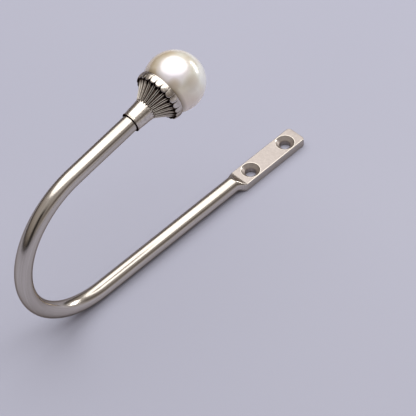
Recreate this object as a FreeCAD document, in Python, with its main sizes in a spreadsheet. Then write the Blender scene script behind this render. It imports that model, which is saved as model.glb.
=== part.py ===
# Curtain holdback: a steel rod bent into a U, one end pressed flat into a
# wall plate with two countersunk screw holes, the other end carrying a cast,
# fluted cup that holds an imitation pearl ball. Millimetres and degrees.
#
# Frame: the origin is on the wall face, midway between the two screw holes.
# +Z points out of the wall, +X runs along the rod from the bend to the plate,
# and the whole U lies in the XZ plane. The cup, the ball and the stud each
# have their own +Z along the free leg, towards the ball.
import FreeCAD, Part
import math
import os
import Sketcher

os.makedirs("parts", exist_ok=True)
doc = FreeCAD.newDocument("holdback")
Vector = FreeCAD.Vector
Placement = FreeCAD.Placement
Rotation = FreeCAD.Rotation
ALONG_X = Vector(1, 0, 0)
ALONG_Y = Vector(0, 1, 0)

# Driving dimensions
SIZES = [
    # bent rod
    ("rod_diameter", 8.0),
    ("arm_length", 84.0),
    ("bend_radius", 42.0),
    ("leg_rise", 10.0),
    ("leg_length", 42.0),
    ("rod_bore_depth", 10.0),
    # end pressed flat
    ("shoulder_length", 8.0),
    ("shoulder_run", 1.2),
    ("press_start_flat", 0.1),
    ("plate_width", 10.8),
    ("plate_thickness", 4.6),
    ("plate_edge_round", 0.4),
    ("plate_corner_round", 1.8),
    ("plate_lead", 6.0),
    ("hole_spacing", 24.0),
    ("hole_to_end", 8.5),
    ("hole_diameter", 5.4),
    ("countersink_diameter", 9.2),
    ("countersink_angle", 90.0),
    # cast cup: collar, bell and lip
    ("socket_gap", 0.05),
    ("socket_depth", 7.0),
    ("collar_length", 9.2),
    ("collar_foot_wall", 0.65),
    ("collar_top_diameter", 10.8),
    ("bead_height", 0.9),
    ("bead_stand", 0.15),
    ("bell_height", 5.6),
    ("bell_top_diameter", 18.6),
    ("bell_sag", 0.1),
    ("lip_height", 5.5),
    ("lip_roll", 4.2),
    ("lip_neck_diameter", 20.8),
    ("lip_foot_diameter", 22.8),
    ("lip_diameter", 24.9),
    ("lip_bevel", 1.2),
    # cast cup: petals
    ("petal_count", 24),
    ("channel_foot_radius", 0.7),
    ("channel_top_radius", 1.7),
    ("channel_foot_depth", 0.35),
    ("channel_top_depth", 0.6),
    ("channel_overrun", 1.2),
    ("slit_foot_width", 0.26),
    ("slit_top_width", 0.6),
    ("slit_foot_depth", 0.45),
    ("slit_top_depth", 0.9),
    ("slit_overrun", 1.8),
    ("slit_clear", 2.0),
    ("notch_foot_radius", 1.25),
    ("notch_top_radius", 0.12),
    ("notch_foot_inset", 0.75),
    ("notch_lean", 17.0),
    ("notch_drop", 0.4),
    ("notch_height", 2.2),
    # ball and the stud that joins rod, cup and ball
    ("ball_diameter", 28.0),
    ("ball_above_rim", 7.4),
    ("seat_gap", 0.05),
    ("ball_bore_depth", 9.0),
    ("stud_diameter", 4.0),
    ("stud_gap", 0.05),
    ("stud_chamfer", 0.4),
    ("stud_end_gap", 0.5),
]

# Places and lengths that follow from them
FOLLOWING = [
    ("rod_radius", "rod_diameter / 2"),
    ("plate_end", "hole_spacing / 2 + hole_to_end"),
    ("plate_start", "-hole_spacing / 2 - plate_lead"),
    ("rod_start", "plate_start - shoulder_length"),
    ("bend_x", "rod_start - arm_length"),
    ("bend_z", "rod_radius + bend_radius"),
    ("leg_tilt", "90 - leg_rise"),
    ("leg_run", "cos(leg_rise * 1deg)"),
    ("leg_climb", "sin(leg_rise * 1deg)"),
    ("leg_x", "bend_x - bend_radius * leg_climb"),
    ("leg_z", "bend_z + bend_radius * leg_run"),
    ("tip_x", "leg_x + leg_length * leg_run"),
    ("tip_z", "leg_z + leg_length * leg_climb"),
    ("cup_x", "tip_x - socket_depth * leg_run"),
    ("cup_z", "tip_z - socket_depth * leg_climb"),
    ("socket_radius", "rod_radius + socket_gap"),
    ("foot_radius", "socket_radius + collar_foot_wall"),
    ("collar_radius", "collar_top_diameter / 2"),
    ("bell_radius", "bell_top_diameter / 2"),
    ("bell_top", "collar_length + bell_height"),
    ("rim", "bell_top + lip_height"),
    ("foot_level", "0"),
    ("bead_radius", "foot_radius + bead_stand"),
    ("bead_low", "bead_height / 4"),
    ("bead_high", "bead_height * 3 / 4"),
    ("lip_radius", "lip_diameter / 2"),
    ("neck_radius", "lip_neck_diameter / 2"),
    ("lip_foot_radius", "lip_foot_diameter / 2"),
    ("bevel_radius", "lip_radius - lip_bevel / 2"),
    ("neck", "rim - lip_roll"),
    ("roll_low", "neck + lip_bevel"),
    ("roll_high", "rim - lip_bevel"),
    ("bell_run", "bell_radius - collar_radius"),
    ("bell_slant", "sqrt(bell_run ^ 2 + bell_height ^ 2)"),
    ("bell_sine", "bell_run / bell_slant"),
    ("bell_cosine", "bell_height / bell_slant"),
    ("bell_lean", "asin(bell_sine)"),
    ("bell_middle_radius", "(collar_radius + bell_radius) / 2 - bell_sag * bell_cosine"),
    ("bell_middle", "collar_length + bell_height / 2 + bell_sag * bell_sine"),
    ("foot_lift", "channel_foot_radius - channel_foot_depth"),
    ("top_lift", "channel_top_radius - channel_top_depth"),
    ("channel_angle", "asin((top_lift - foot_lift) / bell_slant)"),
    ("channel_lean", "bell_lean + channel_angle"),
    ("channel_x", "collar_radius + bell_cosine * foot_lift"),
    ("channel_z", "collar_length - bell_sine * foot_lift"),
    ("channel_length", "bell_slant + channel_overrun"),
    ("slit_length", "bell_slant + slit_overrun"),
    ("half_petal", "180 / petal_count"),
    ("notch_foot_reach", "lip_radius - notch_foot_inset"),
    ("notch_foot", "neck - notch_drop"),
    ("notch_tilt", "notch_lean - 90"),
    ("notch_length", "(notch_height + notch_drop) / cos(notch_lean * 1deg)"),
    ("ball_radius", "ball_diameter / 2"),
    ("ball_from_foot", "rim + ball_above_rim"),
    ("ball_x", "cup_x + ball_from_foot * leg_run"),
    ("ball_z", "cup_z + ball_from_foot * leg_climb"),
    ("stud_radius", "stud_diameter / 2"),
    ("stud_hole_radius", "stud_radius + stud_gap"),
    ("stud_start", "socket_depth - rod_bore_depth + stud_end_gap"),
    ("stud_end", "ball_from_foot - ball_radius + ball_bore_depth - stud_end_gap"),
    ("stud_length", "stud_end - stud_start"),
    ("stud_x", "cup_x + stud_start * leg_run"),
    ("stud_z", "cup_z + stud_start * leg_climb"),
]

sheet = doc.addObject("Spreadsheet::Sheet", "sizes")
for row, (alias, value) in enumerate(SIZES, start=1):
    sheet.set("A%d" % row, alias)
    sheet.set("B%d" % row, str(value))
    sheet.setAlias("B%d" % row, alias)
for row, (alias, formula) in enumerate(FOLLOWING, start=1):
    sheet.set("D%d" % row, alias)
    sheet.set("E%d" % row, "=" + formula)
    sheet.setAlias("E%d" % row, alias)
doc.recompute()


def size(alias):
    """Value of a cell, in millimetres, degrees or a count."""
    value = sheet.get(alias)
    return float(getattr(value, "Value", value))


def bind(thing, prop, text):
    """Tie a property to a cell, or to a short expression of cells."""
    words = ["sizes." + word if word[0].isalpha() else word for word in text.split()]
    thing.setExpression(prop, " ".join(words))


def new_body(label):
    body = doc.addObject("PartDesign::Body", label)
    body.Label = label
    return body


def origin_item(body, role):
    return next(item for item in body.Origin.OriginFeatures if item.Role == role)


def attach(feature, body, plane):
    feature.AttachmentSupport = (origin_item(body, plane), [""])
    feature.MapMode = "FlatFace"
    return feature


def new_sketch(body, name, plane):
    return attach(body.newObject("Sketcher::SketchObject", name), body, plane)


def line(sketch, a, b):
    return sketch.addGeometry(Part.LineSegment(Vector(*a, 0), Vector(*b, 0)))


def arc(sketch, centre, radius, start, end):
    circle = Part.Circle(Vector(*centre, 0), Vector(0, 0, 1), radius)
    return sketch.addGeometry(
        Part.ArcOfCircle(circle, math.radians(start), math.radians(end)))


def rule(sketch, kind, *targets):
    sketch.addConstraint(Sketcher.Constraint(kind, *targets))


def measure(sketch, name, text, kind, *targets):
    """A dimension in a sketch, named and tied to the sheet."""
    index = sketch.addConstraint(Sketcher.Constraint(kind, *targets))
    sketch.renameConstraint(index, name)
    bind(sketch, "Constraints." + name, text)


def pin_point(sketch, name, edge, end, across, up):
    """Hold a sketch point at a signed place, given by two cells."""
    measure(sketch, name + "_across", across, "DistanceX", -1, 1, edge, end, size(across))
    measure(sketch, name + "_up", up, "DistanceY", -1, 1, edge, end, size(up))


def tilt_to_leg(body, across, up):
    """Place a body on the free leg's axis, its own +Z along the leg."""
    body.Placement = Placement(Vector(), Rotation(ALONG_Y, size("leg_tilt")))
    bind(body, "Placement.Base.x", across)
    bind(body, "Placement.Base.z", up)
    bind(body, "Placement.Rotation.Angle", "leg_tilt")


# Bent rod with its pressed plate


def plate_pad(body):
    """The flat plate: a bar whose two end corners are rounded."""
    sketch = new_sketch(body, "plate_outline", "XY_Plane")
    start = size("plate_start")
    end = size("plate_end")
    half = size("plate_width") / 2
    corner = size("plate_corner_round")
    line(sketch, (start, -half), (end - corner, -half))
    arc(sketch, (end - corner, corner - half), corner, -90, 0)
    line(sketch, (end, corner - half), (end, half - corner))
    arc(sketch, (end - corner, half - corner), corner, 0, 90)
    line(sketch, (end - corner, half), (start, half))
    line(sketch, (start, half), (start, -half))
    for edge in range(4):
        rule(sketch, "Tangent", edge, 2, edge + 1, 1)
    rule(sketch, "Coincident", 4, 2, 5, 1)
    rule(sketch, "Coincident", 5, 2, 0, 1)
    rule(sketch, "Horizontal", 0)
    rule(sketch, "Vertical", 2)
    rule(sketch, "Horizontal", 4)
    rule(sketch, "Equal", 1, 3)
    rule(sketch, "Symmetric", 5, 1, 5, 2, -1)
    measure(sketch, "corner", "plate_corner_round", "Radius", 1, corner)
    measure(sketch, "width", "plate_width", "DistanceY", 5, 2, 5, 1, 2 * half)
    measure(sketch, "start", "plate_start", "DistanceX", -1, 1, 5, 1, start)
    measure(sketch, "end", "plate_end", "DistanceX", -1, 1, 2, 1, end)
    pad = body.newObject("PartDesign::Pad", "plate")
    pad.Profile = sketch
    bind(pad, "Length", "plate_thickness")
    doc.recompute()
    return pad


def plate_edges(body, pad):
    """Round the long and end edges, but not those that meet the shoulder."""
    names = []
    for index, edge in enumerate(pad.Shape.Edges, start=1):
        box = edge.BoundBox
        lies_flat = box.ZLength < 0.01
        meets_shoulder = box.XMax < size("plate_start") + 0.01
        if lies_flat and not meets_shoulder:
            names.append("Edge%d" % index)
    fillet = body.newObject("PartDesign::Fillet", "plate_rounding")
    fillet.Base = (pad, names)
    bind(fillet, "Radius", "plate_edge_round")
    return fillet


def press_section(body, name, share, place):
    """A cross-section between the round rod, share 0, and the plate, share 1."""
    keep = 1 - share
    mix = lambda round_value, flat_value: round_value * keep + flat_value * share
    width = mix(size("rod_diameter"), size("plate_width"))
    height = mix(size("rod_diameter"), size("plate_thickness"))
    full = size("rod_radius") - size("press_start_flat") / 2
    corner = mix(full, size("plate_edge_round"))
    side = width / 2
    sketch = new_sketch(body, name, "YZ_Plane")
    bind(sketch, "AttachmentOffset.Base.z", place)
    line(sketch, (corner - side, 0), (side - corner, 0))
    arc(sketch, (side - corner, corner), corner, -90, 0)
    line(sketch, (side, corner), (side, height - corner))
    arc(sketch, (side - corner, height - corner), corner, 0, 90)
    line(sketch, (side - corner, height), (corner - side, height))
    arc(sketch, (corner - side, height - corner), corner, 90, 180)
    line(sketch, (-side, height - corner), (-side, corner))
    arc(sketch, (corner - side, corner), corner, 180, 270)
    for edge in range(8):
        rule(sketch, "Tangent", edge, 2, (edge + 1) % 8, 1)
    for edge in (3, 5, 7):
        rule(sketch, "Equal", 1, edge)
    rule(sketch, "PointOnObject", 0, 1, -1)
    rule(sketch, "Symmetric", 0, 1, 0, 2, -2)
    rule(sketch, "Vertical", 2)
    rule(sketch, "Symmetric", 4, 1, 4, 2, -2)
    blend = "%s * %g + %s * %g"
    measure(sketch, "width", blend % ("rod_diameter", keep, "plate_width", share),
            "DistanceX", 6, 1, 2, 1, width)
    measure(sketch, "height", blend % ("rod_diameter", keep, "plate_thickness", share),
            "DistanceY", 0, 1, 4, 2, height)
    round_part = "( rod_radius - press_start_flat / 2 )"
    measure(sketch, "corner", blend % (round_part, keep, "plate_edge_round", share),
            "Radius", 1, corner)
    return sketch


def ease(step):
    """Smooth start and smooth end between 0 and 1."""
    return step * step * (3 - 2 * step)


def shoulder_loft(body):
    """The swelling between rod and plate, straight for a little at each end."""
    steps = [0.0, 0.2, 0.4, 0.6, 0.8, 1.0]
    sections = [press_section(body, "press_round", 0, "rod_start")]
    inner = "( shoulder_length - 2 * shoulder_run )"
    for index, step in enumerate(steps):
        place = "rod_start + shoulder_run + %s * %g" % (inner, step)
        sections.append(press_section(body, "press_%d" % index, ease(step), place))
    sections.append(press_section(body, "press_flat", 1, "plate_start"))
    loft = body.newObject("PartDesign::AdditiveLoft", "shoulder")
    loft.Profile = sections[0]
    loft.Sections = sections[1:]
    return loft


def rod_pipe(body):
    """The round rod: straight arm, bend of half a turn less the rise, leg."""
    path = new_sketch(body, "rod_path", "XZ_Plane")
    rod_radius = size("rod_radius")
    bend = (size("bend_x"), size("bend_z"))
    line(path, (size("rod_start"), rod_radius), (size("bend_x"), rod_radius))
    arc(path, bend, size("bend_radius"), 90 + size("leg_rise"), 270)
    line(path, (size("leg_x"), size("leg_z")), (size("tip_x"), size("tip_z")))
    rule(path, "Coincident", 0, 2, 1, 2)
    rule(path, "Tangent", 1, 1, 2, 1)
    pin_point(path, "start", 0, 1, "rod_start", "rod_radius")
    pin_point(path, "foot", 0, 2, "bend_x", "rod_radius")
    pin_point(path, "centre", 1, 3, "bend_x", "bend_z")
    measure(path, "rise", "leg_rise * 1deg", "Angle", 2, math.radians(size("leg_rise")))
    measure(path, "leg", "leg_length", "Distance", 2, size("leg_length"))
    ring = new_sketch(body, "rod_section", "YZ_Plane")
    bind(ring, "AttachmentOffset.Base.z", "rod_start")
    ring.addGeometry(Part.Circle(Vector(0, rod_radius, 0), Vector(0, 0, 1), rod_radius))
    rule(ring, "PointOnObject", 0, 3, -2)
    measure(ring, "height", "rod_radius", "DistanceY", -1, 1, 0, 3, rod_radius)
    measure(ring, "radius", "rod_radius", "Radius", 0, rod_radius)
    pipe = body.newObject("PartDesign::AdditivePipe", "rod")
    pipe.Profile = ring
    pipe.Spine = (path, [])
    return pipe


def screw_holes(body):
    """Two countersunk holes, wide side on the inside of the hook."""
    sketch = new_sketch(body, "screw_centres", "XY_Plane")
    bind(sketch, "AttachmentOffset.Base.z", "plate_thickness")
    half = size("hole_spacing") / 2
    radius = size("hole_diameter") / 2
    for place in (-half, half):
        sketch.addGeometry(Part.Circle(Vector(place, 0, 0), Vector(0, 0, 1), radius))
    rule(sketch, "PointOnObject", 1, 3, -1)
    rule(sketch, "Symmetric", 0, 3, 1, 3, -1, 1)
    rule(sketch, "Equal", 0, 1)
    measure(sketch, "spacing", "hole_spacing", "DistanceX", 0, 3, 1, 3, 2 * half)
    measure(sketch, "diameter", "hole_diameter", "Diameter", 0, 2 * radius)
    doc.recompute()
    hole = body.newObject("PartDesign::Hole", "screw_holes")
    hole.Profile = sketch
    doc.recompute()
    hole.DepthType = "ThroughAll"
    hole.HoleCutType = "Countersink"
    hole.HoleCutCustomValues = True
    bind(hole, "Diameter", "hole_diameter")
    bind(hole, "HoleCutDiameter", "countersink_diameter")
    bind(hole, "HoleCutCountersinkAngle", "countersink_angle")
    return hole


def rod_bore(body):
    """Blind bore in the free end, where the stud is screwed in."""
    sketch = new_sketch(body, "bore_mouth", "XY_Plane")
    sketch.AttachmentOffset = Placement(Vector(), Rotation(ALONG_Y, size("leg_tilt")))
    bind(sketch, "AttachmentOffset.Base.x", "tip_x")
    bind(sketch, "AttachmentOffset.Base.z", "tip_z")
    bind(sketch, "AttachmentOffset.Rotation.Angle", "leg_tilt")
    radius = size("stud_hole_radius")
    sketch.addGeometry(Part.Circle(Vector(), Vector(0, 0, 1), radius))
    rule(sketch, "Coincident", 0, 3, -1, 1)
    measure(sketch, "radius", "stud_hole_radius", "Radius", 0, radius)
    pocket = body.newObject("PartDesign::Pocket", "rod_bore")
    pocket.Profile = sketch
    bind(pocket, "Length", "rod_bore_depth")
    return pocket


def hook_rod():
    body = new_body("hook_rod")
    pad = plate_pad(body)
    plate_edges(body, pad)
    shoulder_loft(body)
    rod_pipe(body)
    doc.recompute()
    screw_holes(body)
    doc.recompute()
    rod_bore(body)
    doc.recompute()
    return body


# Cast cup


def half_section(sketch, corners):
    """Straight edges between corners, each corner held by its two cells."""
    places = [(size(across), size(up)) for _, across, up in corners]
    count = len(corners)
    for index in range(count):
        line(sketch, places[index], places[(index + 1) % count])
    for index in range(count):
        rule(sketch, "Coincident", index, 2, (index + 1) % count, 1)
    for index, (name, across, up) in enumerate(corners):
        pin_point(sketch, name, index, 1, across, up)


def turn(body, name, sketch):
    """Turn a half section about the body's own axis."""
    feature = body.newObject("PartDesign::Revolution", name)
    feature.Profile = sketch
    feature.ReferenceAxis = (origin_item(body, "Z_Axis"), [""])
    feature.Angle = 360
    return feature


def cup_blank(body):
    """Turned form of the casting: socket, collar with its foot bead, bell, lip."""
    sketch = new_sketch(body, "cup_outline", "XZ_Plane")
    half_section(sketch, [
        ("stud_hole_top", "stud_hole_radius", "rim"),
        ("stud_hole_foot", "stud_hole_radius", "socket_depth"),
        ("socket_top", "socket_radius", "socket_depth"),
        ("socket_mouth", "socket_radius", "foot_level"),
        ("foot", "foot_radius", "foot_level"),
        ("bead_foot", "bead_radius", "bead_low"),
        ("bead_crown", "bead_radius", "bead_high"),
        ("bead_top", "foot_radius", "bead_height"),
        ("collar_top", "collar_radius", "collar_length"),
        ("bell_middle", "bell_middle_radius", "bell_middle"),
        ("bell_top", "bell_radius", "bell_top"),
        ("neck", "neck_radius", "neck"),
        ("roll_foot", "lip_foot_radius", "neck"),
        ("roll_low", "lip_radius", "roll_low"),
        ("roll_high", "lip_radius", "roll_high"),
        ("lip_top", "bevel_radius", "rim"),
    ])
    return turn(body, "cup_blank", sketch)


def repeat(body, name, originals):
    """One feature for each petal, all around the cup."""
    pattern = body.newObject("PartDesign::PolarPattern", name)
    pattern.Originals = originals
    pattern.Axis = (origin_item(body, "Z_Axis"), [""])
    pattern.Angle = 360
    bind(pattern, "Occurrences", "petal_count")
    body.Tip = pattern
    return pattern


def petal_channels(body):
    """The hollow of each petal: a tapered round cut down the bell."""
    cone = attach(body.newObject("PartDesign::SubtractiveCone", "channel"), body, "XY_Plane")
    cone.AttachmentOffset = Placement(Vector(), Rotation(ALONG_Y, size("channel_lean")))
    bind(cone, "AttachmentOffset.Base.x", "channel_x")
    bind(cone, "AttachmentOffset.Base.z", "channel_z")
    bind(cone, "AttachmentOffset.Rotation.Angle", "channel_lean")
    bind(cone, "Radius1", "channel_foot_radius")
    bind(cone, "Radius2", "channel_top_radius")
    bind(cone, "Height", "channel_length")
    return repeat(body, "channels", [cone])


def between_petals(body):
    """Plane that faces outwards midway between two petals."""
    plane = attach(body.newObject("PartDesign::Plane", "between_petals"), body, "YZ_Plane")
    plane.AttachmentOffset = Placement(Vector(), Rotation(ALONG_Y, size("half_petal")))
    bind(plane, "AttachmentOffset.Rotation.Angle", "half_petal")
    doc.recompute()
    return plane


def petal_slits(body, between):
    """The narrow slit between neighbouring petals, wider towards the rim."""
    wedge = body.newObject("PartDesign::SubtractiveWedge", "slit")
    wedge.AttachmentSupport = (between, [""])
    wedge.MapMode = "FlatFace"
    wedge.AttachmentOffset = Placement(Vector(), Rotation(ALONG_X, size("bell_lean")))
    bind(wedge, "AttachmentOffset.Base.y", "collar_length")
    bind(wedge, "AttachmentOffset.Base.z", "collar_radius")
    bind(wedge, "AttachmentOffset.Rotation.Angle", "bell_lean")
    wedge.Ymin = 0
    bind(wedge, "Ymax", "slit_length")
    bind(wedge, "Xmin", "- slit_foot_width / 2")
    bind(wedge, "Xmax", "slit_foot_width / 2")
    bind(wedge, "X2min", "- slit_top_width / 2")
    bind(wedge, "X2max", "slit_top_width / 2")
    bind(wedge, "Zmin", "- slit_foot_depth")
    bind(wedge, "Z2min", "- slit_top_depth")
    bind(wedge, "Zmax", "slit_clear")
    bind(wedge, "Z2max", "slit_clear")
    return repeat(body, "slits", [wedge])


def rim_lobes(body, between):
    """Leaning notches that leave a rounded lobe over the top of each petal."""
    notch = body.newObject("PartDesign::SubtractiveCone", "notch")
    notch.AttachmentSupport = (between, [""])
    notch.MapMode = "FlatFace"
    notch.AttachmentOffset = Placement(Vector(), Rotation(ALONG_X, size("notch_tilt")))
    bind(notch, "AttachmentOffset.Base.y", "notch_foot")
    bind(notch, "AttachmentOffset.Base.z", "notch_foot_reach")
    bind(notch, "AttachmentOffset.Rotation.Angle", "notch_tilt")
    bind(notch, "Radius1", "notch_foot_radius")
    bind(notch, "Radius2", "notch_top_radius")
    bind(notch, "Height", "notch_length")
    return repeat(body, "lobes", [notch])


def cup_seat(body):
    """Round hollow in which the ball sits."""
    seat = attach(body.newObject("PartDesign::SubtractiveSphere", "seat"), body, "XY_Plane")
    bind(seat, "AttachmentOffset.Base.z", "ball_from_foot")
    bind(seat, "Radius", "ball_radius + seat_gap")
    body.Tip = seat
    return seat


def finial_cup():
    body = new_body("finial_cup")
    cup_blank(body)
    doc.recompute()
    petal_channels(body)
    doc.recompute()
    between = between_petals(body)
    petal_slits(body, between)
    doc.recompute()
    rim_lobes(body, between)
    doc.recompute()
    cup_seat(body)
    tilt_to_leg(body, "cup_x", "cup_z")
    doc.recompute()
    return body


# Ball and stud


def pearl_ball():
    """Imitation pearl, drilled for the stud."""
    body = new_body("pearl_ball")
    ball = attach(body.newObject("PartDesign::AdditiveSphere", "ball"), body, "XY_Plane")
    bind(ball, "Radius", "ball_radius")
    bore = attach(body.newObject("PartDesign::SubtractiveCylinder", "ball_bore"),
                  body, "XY_Plane")
    bind(bore, "AttachmentOffset.Base.z", "- ball_radius")
    bind(bore, "Radius", "stud_hole_radius")
    bind(bore, "Height", "ball_bore_depth")
    tilt_to_leg(body, "ball_x", "ball_z")
    doc.recompute()
    return body


def finial_stud():
    """Headless stud through the cup, into the rod and the ball."""
    body = new_body("finial_stud")
    shank = attach(body.newObject("PartDesign::AdditiveCylinder", "shank"), body, "XY_Plane")
    bind(shank, "Radius", "stud_radius")
    bind(shank, "Height", "stud_length")
    doc.recompute()
    ends = ["Edge%d" % index for index, edge in enumerate(shank.Shape.Edges, start=1)
            if edge.BoundBox.ZLength < 0.01]
    chamfer = body.newObject("PartDesign::Chamfer", "stud_ends")
    chamfer.Base = (shank, ends)
    bind(chamfer, "Size", "stud_chamfer")
    tilt_to_leg(body, "stud_x", "stud_z")
    doc.recompute()
    return body


def check_document():
    """Stop if any object failed or any piece isn't one valid solid."""
    for item in doc.Objects:
        if "Invalid" in item.State or "Error" in item.State:
            raise RuntimeError("%s is %s" % (item.Name, item.State))
    for piece in pieces:
        shape = piece.Shape
        if shape.isNull() or not shape.isValid() or len(shape.Solids) != 1:
            raise RuntimeError("%s has no single valid solid" % piece.Label)


pieces = [hook_rod(), finial_cup(), pearl_ball(), finial_stud()]
doc.recompute()
check_document()
for piece in pieces:
    piece.Shape.exportStep("parts/%s.step" % piece.Label)
    print("%-12s %8.1f mm3 %4d faces" % (
        piece.Label, piece.Shape.Volume, len(piece.Shape.Faces)))
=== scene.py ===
# %% [markdown]
# # A curtain holdback with a pearl ball
# The real object is a wall hook for a curtain: a steel rod bent into a U, pressed flat at one end
# for two screws, with a fluted metal cup and a pearl ball at the other end. The CAD model gives
# every piece its size and place. This script gives each piece its fine shape and its finish.
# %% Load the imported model
import math

import bmesh
import bpy
import numpy as np
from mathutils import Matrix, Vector


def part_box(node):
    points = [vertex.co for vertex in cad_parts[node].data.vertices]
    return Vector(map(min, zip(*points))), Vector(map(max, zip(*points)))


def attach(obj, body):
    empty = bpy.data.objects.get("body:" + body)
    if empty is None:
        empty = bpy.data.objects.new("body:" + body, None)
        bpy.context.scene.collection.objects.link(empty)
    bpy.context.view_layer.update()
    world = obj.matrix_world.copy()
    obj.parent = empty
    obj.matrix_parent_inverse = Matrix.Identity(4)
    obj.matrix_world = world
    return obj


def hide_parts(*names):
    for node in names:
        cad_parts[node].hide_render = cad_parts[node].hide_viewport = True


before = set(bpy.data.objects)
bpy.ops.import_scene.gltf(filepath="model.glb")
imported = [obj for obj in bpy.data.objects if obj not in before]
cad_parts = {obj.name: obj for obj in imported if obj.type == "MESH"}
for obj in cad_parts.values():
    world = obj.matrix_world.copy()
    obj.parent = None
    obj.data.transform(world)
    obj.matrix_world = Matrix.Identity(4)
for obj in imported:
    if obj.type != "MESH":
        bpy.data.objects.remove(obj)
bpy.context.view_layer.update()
MM = 0.001


def in_mm(corner):
    return [round(float(value) / MM, 2) for value in corner]


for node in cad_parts:
    low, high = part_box(node)
    print("%-12s %s to %s mm" % (node, in_mm(low), in_mm(high)))

# %% [markdown]
# The hook is described by a few sizes, in millimetres, the same ones as in the CAD model. The rod
# lies along X on the wall face, turns through 170 degrees, and comes back as the free leg. The cup
# and the ball are on the leg's axis, so they get a frame of their own with its Z along the leg.
# %% Sizes of the hook
ROD_R = 4.0
BEND_R = 42.0
RISE = math.radians(10)
PLATE_END = 20.5
PLATE_START = -18.0
ROD_START = -26.0
LEG_LENGTH = 42.0
SOCKET_DEPTH = 7.0
BALL_Z = 27.7
BEND = Vector((-110.0, 0.0, ROD_R + BEND_R))
ALONG_LEG = Vector((math.cos(RISE), 0.0, math.sin(RISE)))
across_leg = Vector((math.sin(RISE), 0.0, -math.cos(RISE)))
leg_start = BEND + BEND_R * Vector((-math.sin(RISE), 0.0, math.cos(RISE)))
leg_tip = leg_start + LEG_LENGTH * ALONG_LEG
cup_foot = leg_tip - SOCKET_DEPTH * ALONG_LEG
ball_centre = cup_foot + BALL_Z * ALONG_LEG
print("cup foot", [round(v, 2) for v in cup_foot],
      "ball centre", [round(v, 2) for v in ball_centre])

# %% [markdown]
# A mesh can be built from a grid of points: rows of rings joined by quads. Numpy arrays hold the
# points, and one helper joins neighbouring rows. A second helper makes the object, with a UV map
# that keeps real lengths along and around the piece, for brushed patterns to follow.
# %% Mesh helpers
WELD_GAP = 1e-4


def grid_faces(rows, columns, closed, looped=False):
    """Quads between rows of points; closed joins a row's ends, looped the last row to the first."""
    faces = []
    for r in range(rows if looped else rows - 1):
        s = (r + 1) % rows
        for c in range(columns if closed else columns - 1):
            d = (c + 1) % columns
            faces.append((r * columns + c, r * columns + d, s * columns + d, s * columns + c))
    return faces


def make_piece(name, points, faces, uvs=None, weld=True):
    """A smooth mesh object; points and uvs are in millimetres, one pair of uvs for each point."""
    mesh = bpy.data.meshes.new(name)
    mesh.from_pydata([tuple(p * MM) for p in points], [], faces)
    if uvs is not None:
        layer = mesh.uv_layers.new(name="real_size")
        corner = np.zeros(len(mesh.loops), np.int32)
        mesh.loops.foreach_get("vertex_index", corner)
        lengths = np.asarray(uvs, float)[corner] * MM
        layer.data.foreach_set("uv", lengths.astype(np.float32).ravel())
    work = bmesh.new()
    work.from_mesh(mesh)
    if weld:
        bmesh.ops.remove_doubles(work, verts=work.verts, dist=WELD_GAP * MM)
    bmesh.ops.recalc_face_normals(work, faces=work.faces)
    work.to_mesh(mesh)
    work.free()
    mesh.polygons.foreach_set("use_smooth", [True] * len(mesh.polygons))
    piece = bpy.data.objects.new(name, mesh)
    bpy.context.scene.collection.objects.link(piece)
    return piece


def settle(piece, node):
    """The piece stands for a CAD node, and rides on the hook's one body."""
    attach(piece, "root")
    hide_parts(node)
    low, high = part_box(node)
    places = np.array([vertex.co for vertex in piece.data.vertices])
    print(piece.name, len(piece.data.polygons), "faces, box", in_mm(places.min(axis=0)),
          in_mm(places.max(axis=0)), "CAD box", in_mm(low), in_mm(high))


print("a grid of 3 rows and 4 columns has", len(grid_faces(3, 4, False)), "quads")

# %% [markdown]
# The plate is the rod's own end, pressed flat in a die, so between them the section changes from a
# circle to a rounded bar while its area stays the same. One function gives the section at any share
# of that change. Its points are spread by share of the outline's length, so that the rows of points
# run smoothly from the round rod into the flat plate.
# %% Section of the pressed end
PLATE_W = 10.8
PLATE_T = 4.6
EDGE_R = 0.4
FLAT_STEPS = 28
CORNER_STEPS = 6
SIDE_STEPS = 8
RING = 2 * (FLAT_STEPS + SIDE_STEPS) + 4 * CORNER_STEPS


def bar_section(width, height, corner, shares):
    """Points (y, z) on a rounded bar standing on z = 0, at shares of its outline from the top."""
    flat = width / 2 - corner
    side = height / 2 - corner
    arc = corner * math.pi / 2
    points = []
    for share in shares:
        turn = (share % 1.0) * 4
        number = int(turn)
        run = (turn - number) * (flat + arc + side)
        if number in (1, 3):
            run = flat + arc + side - run
        if run <= flat:
            y, z = run, height / 2
        elif run <= flat + arc:
            angle = (run - flat) / corner
            y, z = flat + corner * math.sin(angle), side + corner * math.cos(angle)
        else:
            y, z = width / 2, side - (run - flat - arc)
        y = y if number in (0, 1) else -y
        z = z if number in (0, 3) else -z
        points.append((y, z + height / 2))
    return np.array(points)


def flat_shares():
    """Shares of the plate's outline at its ring points: even steps on each flat, arc and side."""
    flat = PLATE_W - 2 * EDGE_R
    arc = EDGE_R * math.pi / 2
    side = PLATE_T - 2 * EDGE_R
    total = 2 * flat + 2 * side + 4 * arc
    bend_round = [(arc, CORNER_STEPS), (side, SIDE_STEPS), (arc, CORNER_STEPS)]
    half_flat = [(flat / 2, FLAT_STEPS // 2)]
    shares, run = [], 0.0
    for length, count in half_flat + bend_round + [(flat, FLAT_STEPS)] + bend_round + half_flat:
        for step in range(count):
            shares.append((run + length * step / count) / total)
        run += length
    return np.array(shares)


plate_shares = flat_shares()
round_shares = np.arange(RING) / RING
print("points in one ring:", RING, "plate outline shares:", len(plate_shares))

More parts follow.
